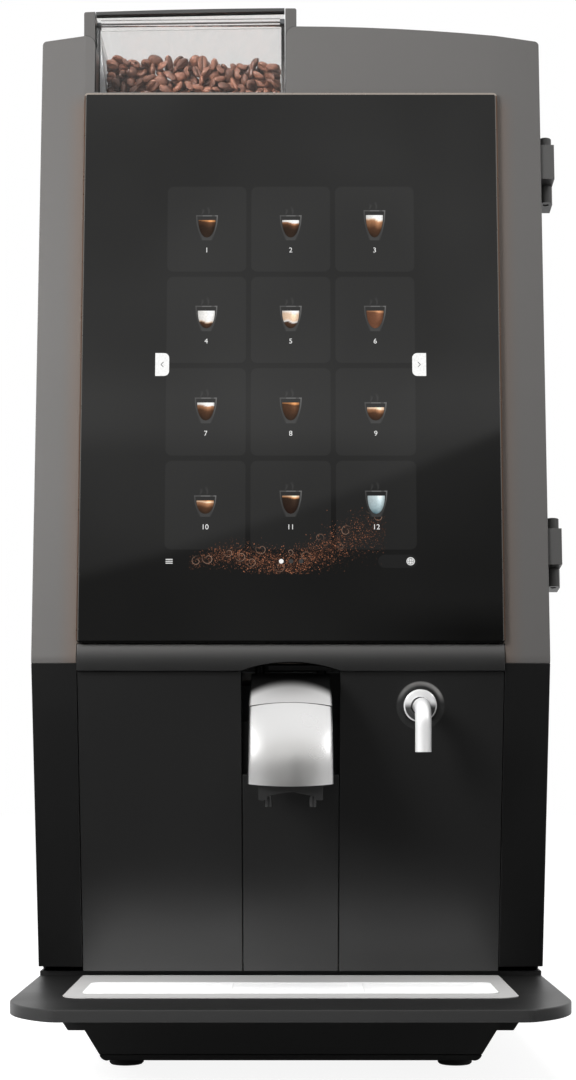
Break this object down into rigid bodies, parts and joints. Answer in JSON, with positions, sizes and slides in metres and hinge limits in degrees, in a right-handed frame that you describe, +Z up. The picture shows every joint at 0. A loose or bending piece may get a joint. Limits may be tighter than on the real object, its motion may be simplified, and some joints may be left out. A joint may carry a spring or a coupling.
{
  "type": "bean-to-cup coffee machine",
  "caption": "Counter-top bean-to-cup coffee machine with a leaning glass-fronted door, height-adjustable spout, hot-water tap, clear bean hopper and pull-out drip tray.",
  "frame": {"origin": "on the floor, in the middle of the whole depth and of the cabinet's width (the hinges stand out on one side, so the box's middle lies a few millimetres further right)", "axes": "+Z up, front towards -Y, +X to the right as the user sees it"},
  "size_m": [0.3442, 0.54, 0.7182],
  "materials": {
    "black_gloss": "smooth black",
    "black_shell": "fine-grained black plastic",
    "brass": "machined",
    "bright_steel": "finely brushed",
    "ceramic": "ceramic",
    "chrome": "polished",
    "dark_chrome": "polished",
    "dark_glass": "polished, opaque from behind",
    "dark_plastic": "dark grey",
    "dark_steel": "black paint",
    "foam": "insulating jacket",
    "galvanised": "dull grey",
    "green_board": "grey case",
    "grey_shell": "satin grey paint",
    "red_switch": "smooth",
    "rubber": "dull",
    "satin_silver": "satin",
    "smoke_clear": "clear, lightly smoked",
    "steel": "brushed",
    "tray_plastic": "dark satin plastic",
    "white_plastic": "off-white"
  },
  "bodies": {
    "cabinet": {"base_pan": "dark_steel", "feet": "rubber", "left_side_panel": "dark_steel", "right_side_panel": "dark_steel", "top_panel": "dark_steel", "rear_panel": "galvanised", "inner_bulkhead": "galvanised", "upper_deck": "galvanised", "hopper_frame": "grey_shell", "hopper_bin": "smoke_clear", "grinder_housing": "dark_plastic", "grinder_motor": "steel", "grounds_chute": "dark_plastic", "brewer_frame": "white_plastic", "brew_chamber": "dark_plastic", "brewer_motor": "dark_plastic", "waste_bin": "black_gloss", "powder_canisters": "white_plastic", "canister_lids": "dark_plastic", "mixer_bowls": "white_plastic", "powder_motors": "dark_plastic", "boiler": "foam", "water_pump": "dark_plastic", "inlet_valve": "brass", "control_box": "green_board", "fan_housing": "dark_plastic", "power_inlet": "black_gloss", "hinge_body_leaves": "grey_shell", "hinge_pins": "steel"},
    "door": {"door_surround": "grey_shell", "door_lower_frame": "black_shell", "screen_glass": "dark_glass", "screen_bezel": "dark_chrome", "display_module": "dark_plastic", "ledge_strip": "black_gloss", "lower_panel": "black_shell", "apron_strip": "black_shell", "door_liner": "galvanised", "hot_water_tap": "chrome", "tap_flange": "chrome", "spout_guide_rods": "steel", "hinge_door_leaves": "grey_shell"},
    "spout": {"spout_cover": "satin_silver", "spout_hood": "satin_silver", "spout_carriage": "black_gloss", "nozzle_block": "dark_plastic"},
    "drip_drawer": {"drip_tray": "tray_plastic", "tray_inlay": "bright_steel"},
    "grate": {"drip_grate": "bright_steel"},
    "lid": {"hopper_lid": "smoke_clear", "lid_front_strip": "black_gloss"},
    "burr": {"lower_burr": "ceramic"},
    "left_auger": {"auger_left": "white_plastic"},
    "right_auger": {"auger_right": "white_plastic"},
    "left_whipper": {"whipper_left": "white_plastic"},
    "right_whipper": {"whipper_right": "white_plastic"},
    "fan": {"fan_rotor": "dark_plastic"},
    "piston": {"brew_piston": "white_plastic"},
    "screw": {"drive_screw": "steel"},
    "rocker": {"switch_rocker": "red_switch"}
  },
  "joints": [
    {"name": "door_hinge", "type": "hinge", "parent": "cabinet", "child": "door", "pos_m": [0.1723, -0.118, 0.2585], "axis": [0, 0.1343, 0.9909], "range_deg": [0, 110]},
    {"name": "spout_slide", "type": "slide", "parent": "door", "child": "spout", "axis": [0, 0.1755, -0.9845], "range_m": [0, 0.04]},
    {"name": "drip_tray_slide", "type": "slide", "parent": "cabinet", "child": "drip_drawer", "axis": [0, -1, 0], "range_m": [0, 0.18]},
    {"name": "grate_lift", "type": "slide", "parent": "drip_drawer", "child": "grate", "axis": [0, 0, 1], "range_m": [0, 0.06]},
    {"name": "hopper_lid_hinge", "type": "hinge", "parent": "cabinet", "child": "lid", "pos_m": [-0.07, 0.1385, 0.71], "axis": [-1, 0, 0], "range_deg": [0, 100]},
    {"name": "burr_spin", "type": "hinge", "parent": "cabinet", "child": "burr", "pos_m": [-0.07, 0.01, 0.52], "axis": [0, 0, 1], "continuous": true},
    {"name": "left_auger_turn", "type": "hinge", "parent": "cabinet", "child": "left_auger", "pos_m": [0.044, 0, 0.464], "axis": [0, 1, 0], "continuous": true},
    {"name": "right_auger_turn", "type": "hinge", "parent": "cabinet", "child": "right_auger", "pos_m": [0.12, 0, 0.464], "axis": [0, 1, 0], "continuous": true},
    {"name": "left_whipper_spin", "type": "hinge", "parent": "cabinet", "child": "left_whipper", "pos_m": [0.044, 0, 0.345], "axis": [0, 1, 0], "continuous": true},
    {"name": "right_whipper_spin", "type": "hinge", "parent": "cabinet", "child": "right_whipper", "pos_m": [0.12, 0, 0.345], "axis": [0, 1, 0], "continuous": true},
    {"name": "fan_spin", "type": "hinge", "parent": "cabinet", "child": "fan", "pos_m": [0.084, 0.245, 0.56], "axis": [0, 1, 0], "continuous": true},
    {"name": "screw_turn", "type": "hinge", "parent": "cabinet", "child": "screw", "pos_m": [-0.07, 0.045, 0.25], "axis": [0, 0, 1], "range_deg": [0, 1260]},
    {"name": "piston_slide", "type": "slide", "parent": "cabinet", "child": "piston", "axis": [0, 0, 1], "range_m": [0, 0.028]},
    {"name": "switch_tilt", "type": "hinge", "parent": "cabinet", "child": "rocker", "pos_m": [0.05, 0.253, 0.107], "axis": [1, 0, 0], "range_deg": [0, 12]}
  ],
  "couplings": [
    {"joint": "screw_turn", "follows": "piston_slide", "rad_per_m": 785.4}
  ]
}
